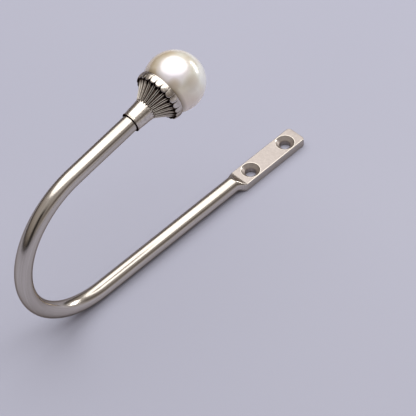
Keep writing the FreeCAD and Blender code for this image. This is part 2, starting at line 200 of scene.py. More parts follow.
# %% [markdown]
# A curve with a round bevel would do for the bent rod, but it couldn't flatten into the plate. So
# the rod is those rings carried along its path: straight arm, bend, free leg. In the straight parts
# few rings are enough, and in the bend one ring for each 1.5 degrees keeps highlights smooth. The
# free end is closed by the bore that takes the stud, hidden inside the cup.
# %% Rings of the rod
SHOULDER_RUN = 1.2
SHOULDER_RINGS = 41
ARM_RINGS = 29
BEND_RINGS = 114
LEG_RINGS = 14
STUD_HOLE_R = 2.05
BORE_DEPTH = 10.0


def ease(share):
    return share * share * (3 - 2 * share)


def shoulder_ring(x):
    """The section at x: round before the shoulder, flat after it."""
    inner = (x - ROD_START - SHOULDER_RUN) / (PLATE_START - ROD_START - 2 * SHOULDER_RUN)
    share = ease(min(max(inner, 0.0), 1.0))

    def mix(of_rod, of_plate):
        return of_rod * (1 - share) + of_plate * share

    section = bar_section(mix(2 * ROD_R, PLATE_W), mix(2 * ROD_R, PLATE_T), mix(ROD_R, EDGE_R),
                          mix(round_shares, plate_shares))
    return np.column_stack([np.full(RING, x), section])


def rod_rings():
    """Rings from the plate's start to the free tip, with their distance along the rod."""
    rings, along = [], []
    for x in np.linspace(PLATE_START, ROD_START, SHOULDER_RINGS):
        rings.append(shoulder_ring(x))
        along.append(PLATE_START - x)
    circle = bar_section(2 * ROD_R, 2 * ROD_R, ROD_R, round_shares) - (0.0, ROD_R)

    def add(centre, out, distance):
        sideways = np.outer(circle[:, 0], (0, 1, 0))
        rings.append(np.array(centre) + sideways + np.outer(circle[:, 1], out))
        along.append(distance)

    base = PLATE_START - ROD_START
    arm = ROD_START - BEND.x
    turn = math.pi - RISE
    for step in range(1, ARM_RINGS):
        x = ROD_START - arm * step / ARM_RINGS
        add((x, 0, ROD_R), (0, 0, 1), base + ROD_START - x)
    for step in range(BEND_RINGS + 1):
        angle = turn * step / BEND_RINGS
        inward = Vector((math.sin(angle), 0, math.cos(angle)))
        add(BEND - BEND_R * inward, inward, base + arm + BEND_R * angle)
    for step in range(1, LEG_RINGS + 1):
        reach = LEG_LENGTH * step / LEG_RINGS
        add(leg_start + reach * ALONG_LEG, across_leg, base + arm + BEND_R * turn + reach)
    return rings, along


rings, along = rod_rings()
print("rings along the rod:", len(rings), "length %.1f mm" % along[-1])

# %% [markdown]
# The plate needs two countersunk holes. A boolean modifier would cut them, but it leaves long thin
# faces that spoil the shading. A hole in a flat face stays clean when its circle is joined to the
# outline around it by straight spokes, like the lines of a fan. So the plate's top is cut into
# three cells: one around each hole and a plain one between them. The last cell also goes round the
# plate's end with its two rounded corners.
# %% Outlines of the plate
HOLE_X = 12.0
CORNER_R = 1.8
CELL = PLATE_W / 2 - EDGE_R
END_ARC_STEPS = 12
MIDDLE_STEPS = 12


def side_steps(start, end, count):
    return [start + (end - start) * step / count for step in range(count)]


def rounded_end():
    """Points round the plate's end, on the flat top's outline, each with its outward direction."""
    inner = CORNER_R - EDGE_R
    turn_x = PLATE_END - CORNER_R
    turn_y = CELL - inner

    def corner(centre_y, start, end):
        turns = [math.radians(degrees) for degrees in side_steps(start, end, END_ARC_STEPS)]
        outs = [(math.cos(turn), math.sin(turn)) for turn in turns]
        return [((turn_x + inner * x, centre_y + inner * y), (x, y)) for x, y in outs]

    across = [((turn_x + inner, y), (1, 0)) for y in side_steps(-turn_y, turn_y, FLAT_STEPS // 2)]
    return corner(-turn_y, -90, 0) + across + corner(turn_y, 0, 90) + [((turn_x, CELL), (0, 1))]


def hole_cell_outline(centre, at_end):
    """Points around a hole's cell of the flat top, anticlockwise from its low left corner."""
    low_x, high_x = centre - CELL, centre + CELL
    points = [(x, -CELL) for x in side_steps(low_x, high_x, FLAT_STEPS)]
    if at_end:
        points += [(high_x, -CELL)] + [point for point, _ in rounded_end()]
    else:
        points += [(high_x, y) for y in side_steps(-CELL, CELL, FLAT_STEPS)]
    points += [(x, CELL) for x in side_steps(high_x, low_x, FLAT_STEPS)]
    points += [(low_x, y) for y in side_steps(CELL, -CELL, FLAT_STEPS)]
    return np.array(points)


first_cell = side_steps(-HOLE_X - CELL, -HOLE_X + CELL, FLAT_STEPS)
middle = side_steps(-HOLE_X + CELL, HOLE_X - CELL, MIDDLE_STEPS)
second_cell = side_steps(HOLE_X - CELL, HOLE_X + CELL, FLAT_STEPS)
outline_xs = [PLATE_START] + first_cell + middle + second_cell + [HOLE_X + CELL]
print("points along one side of the plate:", len(outline_xs), "round its end:", len(rounded_end()))

# %% [markdown]
# Each hole is then a short stack of rings: a rounded rim, a 90 degree cone for the screw's head,
# and a straight bore down to the plate's back.
# %% Screw hole cells
HOLE_R = 2.7
SINK_R = 4.6
SINK_LEAN = math.radians(45)
RIM_ROUND = 0.25
RIM_STEPS = 6
CONE_STEPS = 8
BORE_STEPS = 5
TOP_SPOKES = (0.0, 0.3, 0.6)
BACK_SPOKES = (0.4, 0.7, 1.0)


def hole_profile():
    """Radius and height of the rings from the plate's top, down the hole, to its back."""
    rows = []
    rim_run = RIM_ROUND * math.tan(SINK_LEAN / 2)
    for step in range(RIM_STEPS + 1):
        angle = SINK_LEAN * step / RIM_STEPS
        rows.append((SINK_R + rim_run - RIM_ROUND * math.sin(angle),
                     PLATE_T - RIM_ROUND * (1 - math.cos(angle))))
    cone_foot = PLATE_T - (SINK_R - HOLE_R)
    last_r, last_z = rows[-1]
    for step in range(1, CONE_STEPS + 1):
        share = step / CONE_STEPS
        rows.append((last_r + (HOLE_R - last_r) * share, last_z + (cone_foot - last_z) * share))
    for step in range(1, BORE_STEPS + 1):
        rows.append((HOLE_R, cone_foot * (1 - step / BORE_STEPS)))
    return rows


def hole_cell(centre, at_end):
    """Grid of points from the top outline, through the hole, to the back outline."""
    spoke = hole_cell_outline(centre, at_end) - (centre, 0.0)
    length = np.linalg.norm(spoke, axis=1)
    unit = spoke / length[:, None]
    profile = hole_profile()
    rows = [(length + (profile[0][0] - length) * share, PLATE_T) for share in TOP_SPOKES]
    rows += [(np.full(len(length), r), z) for r, z in profile]
    rows += [(HOLE_R + (length - HOLE_R) * share, 0.0) for share in BACK_SPOKES]
    points = []
    for radius, z in rows:
        flat = unit * radius[:, None] + (centre, 0.0)
        points.append(np.column_stack([flat, np.full(len(flat), z)]))
    return np.concatenate(points), len(rows), len(length)


cells = [hole_cell(-HOLE_X, False), hole_cell(HOLE_X, True)]
print("points in the two hole cells:", [len(c[0]) for c in cells])

# %% [markdown]
# The plate's rim is one strip that goes round its outline: rounded top edge, straight side, rounded
# lower edge. With the strip, the cells and the rod's rings welded together, rod and plate are one
# closed skin, as the real one is one piece of metal.
# %% Plate edge strip and the whole rod


def edge_strip():
    """Strip of points from the shoulder along one side of the plate, round its end and back."""
    track = [((x, -CELL), (0, -1)) for x in outline_xs] + rounded_end()
    track += [((x, CELL), (0, 1)) for x in reversed(outline_xs)]
    side = PLATE_T - 2 * EDGE_R
    turns = [math.pi / 2 * step / CORNER_STEPS for step in range(CORNER_STEPS + 1)]
    section = [(EDGE_R * math.sin(a), PLATE_T - EDGE_R + EDGE_R * math.cos(a)) for a in turns]
    section += [(EDGE_R, EDGE_R + side * (1 - step / SIDE_STEPS)) for step in range(1, SIDE_STEPS)]
    section += [(EDGE_R * math.cos(a), EDGE_R - EDGE_R * math.sin(a)) for a in turns]
    points = []
    for (x, y), (out_x, out_y) in track:
        for out, z in section:
            points.append((x + out_x * out, y + out_y * out, z))
    return np.array(points), len(track), len(section)


def flat_patch(xs, z):
    """Plain grid of the plate's top or back between two cells."""
    ys = [-CELL + 2 * CELL * step / FLAT_STEPS for step in range(FLAT_STEPS + 1)]
    return np.array([(x, y, z) for x in xs for y in ys]), len(xs), len(ys)


def hook_mesh():
    """All points, faces and UVs of rod and plate, before welding."""
    points, faces, uvs = [], [], []

    def add(patch, rows, columns, closed, patch_uvs):
        start = sum(len(p) for p in points)
        points.append(patch)
        uvs.append(patch_uvs)
        faces.extend(tuple(start + i for i in face) for face in grid_faces(rows, columns, closed))
        return start

    girth = np.tile(round_shares * 2 * math.pi * ROD_R, len(rings))
    rod_uvs = np.column_stack([np.repeat(along, RING), girth])
    add(np.concatenate(rings), len(rings), RING, True, rod_uvs)
    tip = np.array(leg_tip)
    bore_top = tip + (rings[-1] - tip) * STUD_HOLE_R / ROD_R
    bore_foot = bore_top - np.array(ALONG_LEG) * BORE_DEPTH
    bore = np.concatenate([rings[-1], bore_top, bore_foot])
    bore_start = add(bore, 3, RING, True, np.zeros((len(bore), 2)))
    faces.append(tuple(bore_start + 2 * RING + i for i in range(RING)))
    strip, rows, columns = edge_strip()
    add(strip, rows, columns, False, strip[:, :2])
    for patch, rows, columns in cells:
        add(patch, rows, columns, True, patch[:, :2])
    for xs in ([PLATE_START, first_cell[0]], middle + [second_cell[0]]):
        for z in (PLATE_T, 0.0):
            patch, rows, columns = flat_patch(xs, z)
            add(patch, rows, columns, False, patch[:, :2])
    return np.concatenate(points), faces, np.concatenate(uvs)


hook = make_piece("hook_rod_skin", *hook_mesh())
settle(hook, "hook_rod")

# %% [markdown]
# The cup is a zinc casting. Its outline is a turned profile: a collar with a bead at its foot, a
# bell that opens like a trumpet, and a rim of lobes. Bell and lobes are smooth lines through a few
# measured points, so a change to one point leaves the line smooth.
# %% Cup profile
PETALS = 24
COLLAR_TOP = 9.2
COLLAR_FOOT_R = 4.7
COLLAR_SPREAD = 0.62
COLLAR_FLARE = 0.06
FLARE_POWER = 6
COLLAR_ROWS = 10
COLLAR_SPAN = (1.5, COLLAR_TOP - 1.0)
RIM_Z = 20.3
BEAD = [(4.62, 0.0), (4.78, 0.06), (4.86, 0.2), (4.89, 0.4), (4.86, 0.6), (4.76, 0.78), (4.68, 0.9)]
BEAD_TOP = BEAD[-1][1]
BELL_KNOTS = [(5.4, 9.2), (6.15, 10.4), (7.1, 11.8), (8.0, 13.1), (8.8, 14.2), (9.6, 15.2),
              (10.4, 16.1), (11.05, 17.0), (11.45, 18.0), (11.65, 19.0), (11.75, 20.0)]
LOBE_KNOTS = [(11.7, 16.0), (11.98, 16.5), (12.18, 17.1), (12.33, 17.8), (12.42, 18.5),
              (12.4, 19.2), (12.22, 19.8)]
BELL_SAMPLES = 2000
LOBE_SAMPLES = 800


def collar_radius(z):
    share = (z - BEAD_TOP) / (COLLAR_TOP - BEAD_TOP)
    return COLLAR_FOOT_R + COLLAR_SPREAD * share + COLLAR_FLARE * share ** FLARE_POWER


def foot_profile():
    """Radius and height of the cup's outside, from its foot to just below the collar's top."""
    return BEAD + [(collar_radius(z), z) for z in np.linspace(*COLLAR_SPAN, COLLAR_ROWS)]


def smooth_line(knots, count):
    """Evenly spaced points on a smooth line through the knots."""
    knots = np.array(knots, float)
    step = np.linalg.norm(np.diff(knots, axis=0), axis=1)
    run = np.concatenate([[0], np.cumsum(step)])
    slopes = np.gradient(knots, run, axis=0)
    samples = np.linspace(0, run[-1], count)
    index = np.clip(np.searchsorted(run, samples) - 1, 0, len(run) - 2)
    h = (run[index + 1] - run[index])[:, None]
    t = ((samples - run[index])[:, None]) / h
    a, b = knots[index], knots[index + 1]
    m, n = slopes[index] * h, slopes[index + 1] * h
    curve = (2 * t ** 3 - 3 * t ** 2 + 1) * a + (t ** 3 - 2 * t ** 2 + t) * m
    return curve + (-2 * t ** 3 + 3 * t ** 2) * b + (t ** 3 - t ** 2) * n


bell_line = smooth_line(BELL_KNOTS, BELL_SAMPLES)
bell_slope = np.gradient(bell_line, axis=0)
bell_slope /= np.linalg.norm(bell_slope, axis=1)[:, None]
lobe_line = smooth_line(LOBE_KNOTS, LOBE_SAMPLES)
print("bell widens from", bell_line[0, 0], "to", bell_line[-1, 0],
      "and the lobes reach", lobe_line[:, 0].max().round(2))

# %% [markdown]
# On the profile, 24 cast petals repeat around the axis: between two thin black slits lies a
# shallow, darkened panel, with a thin bright ridge along each side. Displacement from a texture
# would need a very fine mesh to show such ridges. Here only half a petal is described, because its
# other half is a mirror image, and each ring has its own places for its columns of points, in real
# millimetres from the middle of a petal, so that edges of faces run along every ridge and slit.
# Sizes in pairs grow from the first at the collar's top to the second at the rim.
# %% Petal pattern
PANEL_STEPS = 7
RIDGE_STEPS = 7
SLIT_STEPS = 4
SLIT_HALF = (0.2, 0.38)
SLIT_DEPTH = (0.4, 0.9)
RIDGE = (0.26, 0.44)
RIDGE_DROP = 0.16
PANEL_DEPTH = (0.3, 0.5)
PANEL_MIDDLE_SHARE = 0.4
PANEL_FADE = 0.4
SLIT_FADE = 0.1
steps = np.arange(PANEL_STEPS + RIDGE_STEPS + SLIT_STEPS + 1)
on_panel = np.clip(steps / PANEL_STEPS, 0, 1)
on_ridge = np.clip((steps - PANEL_STEPS) / RIDGE_STEPS, 0, 1)
in_slit = np.clip((steps - PANEL_STEPS - RIDGE_STEPS) / SLIT_STEPS, 0, 1)


def smooth(value, low, high):
    """0 below low, 1 above high, and an eased step between."""
    return ease(np.clip((value - low) / (high - low), 0, 1))


def grown(pair, z):
    """A size that grows from the top of the collar to the rim."""
    return pair[0] + (pair[1] - pair[0]) * np.clip((z - COLLAR_TOP) / (RIM_Z - COLLAR_TOP), 0, 1)


def column_shares(radius, z):
    """Where each column stands: 0 in the middle of the petal, 1 in the middle of the slit."""
    half = math.pi * radius / PETALS
    slit, ridge = grown(SLIT_HALF, z), grown(RIDGE, z)
    return (on_panel * (half - slit - ridge) + on_ridge * ridge + in_slit * slit) / half


def petal_height(z):
    """How far the columns lie below the crests of the ridges."""
    panel = grown(PANEL_DEPTH, z) * smooth(z, COLLAR_TOP, COLLAR_TOP + PANEL_FADE)
    slit = grown(SLIT_DEPTH, z) * smooth(z, COLLAR_TOP - SLIT_FADE, COLLAR_TOP + SLIT_FADE)
    quarter = math.pi / 2
    inner_fall = 1 - np.sin(quarter * np.clip(on_ridge * 2, 0, 1))
    outer_fall = 1 - np.cos(quarter * np.clip(on_ridge * 2 - 1, 0, 1))
    middle_dip = PANEL_MIDDLE_SHARE * panel * (1 - on_panel ** 2)
    inner_side = (1 - PANEL_MIDDLE_SHARE) * panel * inner_fall
    return -middle_dip - inner_side - RIDGE_DROP * outer_fall - slit * np.sin(quarter * in_slit)


print("petal pitch at the rim: %.2f mm, %d points in half a petal" %
      (2 * math.pi * LOBE_KNOTS[-1][0] / PETALS, len(steps)))

# %% [markdown]
# Now the rows of half a petal, each as radius, height, places of its columns and dark: the patina
# left by the antique finish, with painted shade added at the bell's foot and painted shadow under
# the lobes. On the collar's top, the ends of the slits bite into the metal. Points of the bell move
# along the profile's own normal, so that ridges stand square to the surface, and straight inwards
# only near the lobes, which hide that part.
# %% Rows of the collar's top and the bell
BITE_ROWS = 10
BITE_DEPTH = 0.18
BITE_START = 0.9
BITE_HEIGHT = 0.8
BITE_SPREAD = 0.55
BITE_SOFT = 0.2
BITE_DARK = 0.95
BELL_ROWS = 40
LOBE_FOOT = 16.2
LOBE_FOOT_R = 11.9
LOBE_SCALLOP = 1.45
SCALLOP_ROUND = 0.97
LOBE_NOTCH = 0.7
NOTCH_START = 0.84
PANEL_DARK = 0.74
PANEL_SPILL = 0.25
SLIT_SPILL = 0.4
# painted shade in the crease at the bell's foot
FOOT_SHADE = 0.8
FOOT_FADE = (COLLAR_TOP + 0.05, COLLAR_TOP + 0.35)
# painted shadow of the lobes on the bell below them
SHADE_DARK = 0.4
SHADE_HEIGHT = 1.3
LOBE_FOOT_Z = 17.0
NORMAL_ENDS = (14.5, 16.5)
lobe_across = column_shares(LOBE_FOOT_R, LOBE_FOOT_Z)


def lobe_edge(across):
    """Height of the scalloped lower edge of a lobe, with a narrow notch beside it."""
    round_edge = LOBE_SCALLOP * (1 - np.sqrt(1 - SCALLOP_ROUND * across ** 2))
    return LOBE_FOOT + round_edge + LOBE_NOTCH * smooth(across, NOTCH_START, 1.0)


def collar_top_rows():
    """Rows up to the collar's top edge, where the bites grow wider."""
    across = column_shares(BELL_KNOTS[0][0], COLLAR_TOP)
    rows = []
    for z in np.linspace(COLLAR_TOP - BITE_START, COLLAR_TOP, BITE_ROWS):
        bite_edge = 1 - BITE_SPREAD * (z - COLLAR_TOP + BITE_HEIGHT) / BITE_HEIGHT
        bite = smooth(across, bite_edge, bite_edge + BITE_SOFT)
        rows.append((collar_radius(z) - BITE_DEPTH * bite, z, across, BITE_DARK * bite))
    return rows


def bell_patina_and_shade(z, edge):
    """Patina in panels and slits, painted shade at the foot and under the lobes; ridges stay
    bright.
    """
    dark = PANEL_DARK * (1 - smooth(on_ridge, 0, PANEL_SPILL)) + smooth(in_slit, 0, SLIT_SPILL)
    # painted shade at the bell's foot, all round, ridges too
    dark = np.maximum(dark, FOOT_SHADE * (1 - smooth(z, *FOOT_FADE)))
    # painted shadow of the lobes, growing towards their lower edge
    return dark + SHADE_DARK * smooth(z, edge - SHADE_HEIGHT, edge)


def bell_rows():
    """Rows from the collar's top to the lobes' lower edge."""
    edge = lobe_edge(lobe_across)
    rows = []
    for share in np.linspace(0, 1, BELL_ROWS + 1)[1:]:
        z = COLLAR_TOP + (edge - COLLAR_TOP) * share
        radius = np.interp(z, bell_line[:, 1], bell_line[:, 0])
        run, climb = (np.interp(z, bell_line[:, 1], part) for part in bell_slope.T)
        height = petal_height(z)
        lean = 1 - smooth(z, *NORMAL_ENDS)
        rows.append((radius + height * (climb * lean + 1 - lean), z - height * run * lean,
                     column_shares(radius, z), bell_patina_and_shade(z, edge)))
    return rows


print("rows of the bell:", len(bell_rows()),
      "lowest lobe edge: %.2f mm" % lobe_edge(lobe_across).min())

# %% [markdown]
# Over the top of each petal folds a rounded lobe, like a drop. It is crowned low down and nearly
# plain at the rim, its lower edge is rolled under, with painted shade beneath it, and a dark seam
# parts it from its neighbours.
# %% Rows of the lobes
LOBE_EDGE_ROUND = 0.32
LOBE_TOP = 19.7
LOBE_CROWN = 0.32
CROWN_POWER = 7
CROWN_LOSS = 0.28
CROWN_FADE = (16.6, 18.6)
SEAM_HEIGHT = 1.3
SEAM_DARK = 0.9
SEAM_START = 0.8
SEAM_NARROWS = 0.16
SEAM_SOFT = 0.12
SEAM_FADE = 0.6
# painted shade on the underside of each lobe's rolled edge
ROLL_SHADE = 0.8
UNDER_ROWS = 2
EDGE_ROWS = 6
LOBE_ROWS = 14


def lobe_radius(z):
    """Radius of the lobes' outer skin at a height, highest in the middle of each petal."""
    crown = (LOBE_CROWN - CROWN_LOSS * smooth(z, *CROWN_FADE)) * lobe_across ** CROWN_POWER
    return np.interp(z, lobe_line[:, 1], lobe_line[:, 0]) - crown


def seam(z, edge):
    """A dark spike between two lobes, wide at their lower edge and gone higher up."""
    climb = np.clip((z - edge) / SEAM_HEIGHT, 0, 1)
    start = SEAM_START + SEAM_NARROWS * climb
    dark = SEAM_DARK * smooth(lobe_across, start, start + SEAM_SOFT)
    return dark * (1 - smooth(climb, SEAM_FADE, 1.0))


def lobe_rows(foot_radius):
    """Rows from under the lobes, round their lower edge, and up to the rim."""
    edge = lobe_edge(lobe_across)
    rows = []
    for share in np.linspace(0, 1, UNDER_ROWS + 1)[1:-1]:
        radius = foot_radius + (lobe_radius(edge) - LOBE_EDGE_ROUND - foot_radius) * share
        # the rows under the lobes get painted shade, as dark as a seam
        rows.append((radius, edge, lobe_across, np.full_like(edge, SEAM_DARK)))
    for turn in np.linspace(0, math.pi / 2, EDGE_ROWS):
        z = edge + LOBE_EDGE_ROUND * (1 - math.cos(turn))
        radius = lobe_radius(z) - LOBE_EDGE_ROUND * (1 - math.sin(turn))
        # painted shade on the underside of the roll, fading as it turns up
        under = ROLL_SHADE * (1 - smooth(turn, 0, 1))
        rows.append((radius, z, lobe_across, np.maximum(seam(z, edge), under)))
    for share in np.linspace(0, 1, LOBE_ROWS + 1)[1:]:
        z = edge + LOBE_EDGE_ROUND + (LOBE_TOP - edge - LOBE_EDGE_ROUND) * share
        rows.append((lobe_radius(z), z, lobe_across, seam(z, edge)))
    return rows


print("lobes stand %.2f mm proud of the bell" % (lobe_line[:, 0].max() - bell_line[:, 0].max()))

# %% [markdown]
# The cup is one grid: each row becomes a ring by mirroring half a petal and repeating it 24 times.
# The inside, with the seat for the ball and the socket for the rod, is plain rings that close the
# skin. The patina and the painted shade are kept with each point of the mesh, for the material to
# read.
# %% Cup skin
BALL_R = 14.0
SEAT_R = 14.05
SEAT_FOOT = 13.9
SOCKET_R = 4.05
SOCKET_BEVEL = 0.12
SEAT_DARK = 0.6
RIM_DARK = 0.35
RIM_FADE = (0.7, 1.5)
FOOT_LINE = (0.05, 0.3)
RIM_ROWS = 5
SEAT_ROWS = 6


def all_petals(half):
    """Values of a whole ring from those of half a petal."""
    half = half + np.zeros(len(steps))
    return np.tile(np.append(half, half[-2:0:-1]), PETALS)


def ring_points(radius, z, across):
    """Points of a whole ring, in the cup's own frame."""
    share = np.concatenate([across, 2 - across[-2:0:-1]]) / 2
    angles = ((np.arange(PETALS)[:, None] + share[None, :]) * 2 * math.pi / PETALS).ravel()
    radius = all_petals(radius)
    return np.column_stack([radius * np.cos(angles), radius * np.sin(angles), all_petals(z)])


def cup_rows():
    """Rings from the socket, round the foot, up the outside, over the rim and down the seat."""
    inside = [(STUD_HOLE_R, SEAT_FOOT), (STUD_HOLE_R, SOCKET_DEPTH), (SOCKET_R, SOCKET_DEPTH),
              (SOCKET_R, SOCKET_BEVEL), (SOCKET_R + SOCKET_BEVEL, 0.0)]
    across = column_shares(BELL_KNOTS[0][0], COLLAR_TOP)
    rows = [(radius, z, across, 1 - smooth(z, *FOOT_LINE)) for radius, z in inside + foot_profile()]
    rows += collar_top_rows() + bell_rows()
    rows += lobe_rows(rows[-1][0])
    last_radius, last_z, across = rows[-1][:3]
    seat_edge = SEAT_R * math.sin(math.acos((BALL_Z - RIM_Z) / SEAT_R))
    for turn in np.linspace(0, math.pi / 2, RIM_ROWS + 1)[1:]:
        radius = last_radius + (seat_edge - last_radius) * (1 - math.cos(turn))
        z = last_z + (RIM_Z - last_z) * math.sin(turn)
        rows.append((radius, z, across, RIM_DARK * smooth(turn, *RIM_FADE)))
    edge_lean, hole_lean = math.asin(seat_edge / SEAT_R), math.asin(STUD_HOLE_R / SEAT_R)
    for lean in np.linspace(edge_lean, hole_lean, SEAT_ROWS + 1)[1:]:
        rows.append((SEAT_R * math.sin(lean), BALL_Z - SEAT_R * math.cos(lean), across, SEAT_DARK))
    return [ring_points(*row[:3]) for row in rows], [all_petals(row[3]) for row in rows]


def on_leg(local):
    """From the cup's own frame to the hook's frame."""
    return np.array(cup_foot) + local @ np.array([across_leg, Vector((0, 1, 0)), ALONG_LEG])


rows, patina_and_shade_rows = cup_rows()
cup = make_piece("finial_cup_skin", on_leg(np.concatenate(rows)),
                 grid_faces(len(rows), len(rows[0]), True, True), weld=False)
patina_and_shade = cup.data.attributes.new("patina_and_shade", "FLOAT", "POINT")
patina_and_shade.data.foreach_set("value", np.concatenate(patina_and_shade_rows).astype(np.float32))
settle(cup, "finial_cup")

# %% [markdown]
# The pearl is a moulded ball dipped in nacre lacquer. A UV sphere has poles, where thin triangles
# pinch the highlight. A sphere made of a cube with rounded faces has none. Its back is hidden in
# the cup's seat, and it is a hair smaller than the CAD ball, to stay inside the CAD model's box.
# %% Pearl ball
BALL_STEPS = 40
BALL_INSET = 0.005


def cube_sphere(radius, cuts):
    """Points and quads of a sphere made from the six faces of a cube."""
    points, faces = [], []
    line = np.tan(np.linspace(-math.pi / 4, math.pi / 4, cuts + 1))
    u, v = np.meshgrid(line, line, indexing="ij")
    one = np.ones_like(u)
    cube = [(u, v, one), (v, u, -one), (one, u, v), (-one, v, u), (v, one, u), (u, -one, v)]
    for number, sides in enumerate(cube):
        patch = np.stack(sides, -1).reshape(-1, 3)
        patch = patch / np.linalg.norm(patch, axis=1)[:, None] * radius
        start = number * len(patch)
        points.append(patch)
        faces += [tuple(start + i for i in face) for face in grid_faces(cuts + 1, cuts + 1, False)]
    return np.concatenate(points), faces


points, faces = cube_sphere(BALL_R - BALL_INSET, BALL_STEPS)
ball = make_piece("pearl_ball_skin", points + np.array(ball_centre), faces)
settle(ball, "pearl_ball")

# %% [markdown]
# The finishes are made of shader nodes, not images, so they stay sharp at any distance and need no
# unwrapping. Colours are written as the sRGB hex values that a designer picks on a screen, but a
# shader counts in linear light. One function turns one into the other, and one adds a node. A noise
# texture's scale is its number of cells in a metre, so 1000 divided by it is the size in mm.
# %% Material helpers


def linear(code):
    """An sRGB hex colour as linear red, green, blue and alpha."""
    values = [int(code[i:i + 2], 16) / 255 for i in (0, 2, 4)]
    return [v / 12.92 if v <= 0.04045 else ((v + 0.055) / 1.055) ** 2.4 for v in values] + [1.0]


def add_node(tree, kind, settings=None, links=None, stops=()):
    """A shader node: settings fill its properties or sockets, links join its sockets to others."""
    node = tree.nodes.new("ShaderNode" + kind)
    for name, value in (settings or {}).items():
        if isinstance(name, int) or name in node.inputs:
            node.inputs[name].default_value = value
        else:
            setattr(node, name, value)
    for name, source in (links or {}).items():
        tree.links.new(source, node.inputs[name])
    for index, (place, code) in enumerate(stops):
        ramp = node.color_ramp.elements
        stop = ramp[index] if index < 2 else ramp.new(place)
        stop.position, stop.color = place, linear(code)
    return node


def new_material(name):
    """An empty node material and its tree, with the output ready."""
    material = bpy.data.materials.new(name)
    material.use_nodes = True
    tree = material.node_tree
    tree.nodes.clear()
    return material, tree, add_node(tree, "OutputMaterial")


print("linear value of middle grey 808080:", round(linear("808080")[0], 3))

# %% [markdown]
# The rod is steel, brushed with a belt and plated with satin nickel, which copies the brushing.
# That gives the eye a white band with soft edges and a warm, champagne grey. The belt's lines are
# about 0.05 mm wide, too fine to show here, so the streaks are drawn 0.8 mm wide and 45 mm long.
# The die left the plate's faces matte, with a fine grain, while their edges and the rims of the
# screw holes stayed bright. That grain, really 0.1 mm, is drawn at 0.7 mm to show. Satin plating's
# roughness is about 0.2, a little more or less in worn clouds of 11 mm, and the matte faces are 0.3
# rougher.
# %% Satin nickel
STREAKS = (22, 1300, 1)
WEAR_CLOUDS = 90.0
DIE_GRAIN = 1400.0
DIE_EDGE = (-23.0, -18.5)
BRIGHT_EDGE = (4.8, 5.1)
MATTE_MORE = 0.3
NICKEL_EDGE_TINT = "9A8F86"


def satin_nickel():
    material, tree, output = new_material("satin_nickel_plated_steel")
    place = add_node(tree, "UVMap", {"uv_map": "real_size"})
    stretch = add_node(tree, "Mapping", {"Scale": STREAKS}, {"Vector": place.outputs["UV"]})
    streaks = add_node(tree, "TexNoise", {"Scale": 1.0, "Detail": 5.0, "Roughness": 0.65},
                       {"Vector": stretch.outputs["Vector"]})
    brushed = add_node(tree, "ValToRGB", links={"Fac": streaks.outputs["Fac"]},
                       stops=[(0.3, "BFB7AD"), (0.7, "D8D1C8")])
    where = add_node(tree, "TexCoord")
    cloud = add_node(tree, "TexNoise", {"Scale": WEAR_CLOUDS, "Detail": 3.0},
                     {"Vector": where.outputs["Object"]})
    gloss = add_node(tree, "MapRange",
                     {"From Min": 0.3, "From Max": 0.7, "To Min": 0.15, "To Max": 0.22},
                     {"Value": cloud.outputs["Fac"]})

    # The matte area: past the die's edge, inside the bright edges, and off the rims of the holes.
    along = add_node(tree, "SeparateXYZ", links={"Vector": where.outputs["Object"]})
    pressed = add_node(tree, "MapRange",
                       {"From Min": DIE_EDGE[0] * MM, "From Max": DIE_EDGE[1] * MM},
                       {"Value": along.outputs["X"]})
    sideways = add_node(tree, "Math", {"operation": "ABSOLUTE"}, {0: along.outputs["Y"]})
    inside = add_node(tree, "MapRange",
                      {"From Min": BRIGHT_EDGE[0] * MM, "From Max": BRIGHT_EDGE[1] * MM,
                       "To Min": 1.0, "To Max": 0.0}, {"Value": sideways.outputs["Value"]})
    face = add_node(tree, "Math", {"operation": "MULTIPLY"},
                    {0: pressed.outputs["Result"], 1: inside.outputs["Result"]})
    out = add_node(tree, "Math", {"operation": "ABSOLUTE"}, {0: along.outputs["X"]})
    past_hole = add_node(tree, "Math", {"operation": "SUBTRACT", 1: HOLE_X * MM},
                         {0: out.outputs["Value"]})
    to_hole = add_node(tree, "CombineXYZ",
                       links={"X": past_hole.outputs["Value"], "Y": along.outputs["Y"]})
    from_hole = add_node(tree, "VectorMath", {"operation": "LENGTH"},
                         {0: to_hole.outputs["Vector"]})
    on_rim = add_node(tree, "Math", {"operation": "COMPARE", 1: SINK_R * MM, 2: RIM_ROUND * MM},
                      {0: from_hole.outputs["Value"]})
    matte = add_node(tree, "Math", {"operation": "SUBTRACT", "use_clamp": True},
                     {0: face.outputs["Value"], 1: on_rim.outputs["Value"]})

    grain = add_node(tree, "TexNoise", {"Scale": DIE_GRAIN, "Detail": 3.0, "Roughness": 0.7},
                     {"Vector": where.outputs["Object"]})
    grained = add_node(tree, "ValToRGB", links={"Fac": grain.outputs["Fac"]},
                       stops=[(0.35, "AFA6A0"), (0.65, "BFB6B0")])
    colour = add_node(tree, "MixRGB",
                      links={"Fac": matte.outputs["Value"], "Color1": brushed.outputs["Color"],
                             "Color2": grained.outputs["Color"]})
    rough = add_node(tree, "Math", {"operation": "MULTIPLY_ADD", 1: MATTE_MORE},
                     {0: matte.outputs["Value"], 2: gloss.outputs["Result"]})
    bump = add_node(tree, "Bump", {"Strength": 0.25, "Distance": 0.03 * MM},
                    {"Height": streaks.outputs["Fac"]})
    metal = add_node(tree, "BsdfPrincipled",
                     {"Metallic": 1.0, "Specular Tint": linear(NICKEL_EDGE_TINT)},
                     {"Base Color": colour.outputs["Color"], "Roughness": rough.outputs["Value"],
                      "Normal": bump.outputs["Normal"]})
    tree.links.new(metal.outputs["BSDF"], output.inputs["Surface"])
    return material


hook.data.materials.append(satin_nickel())
print("streaks are %.1f mm long and %.2f mm wide" % (1000 / STREAKS[0], 1000 / STREAKS[1]))

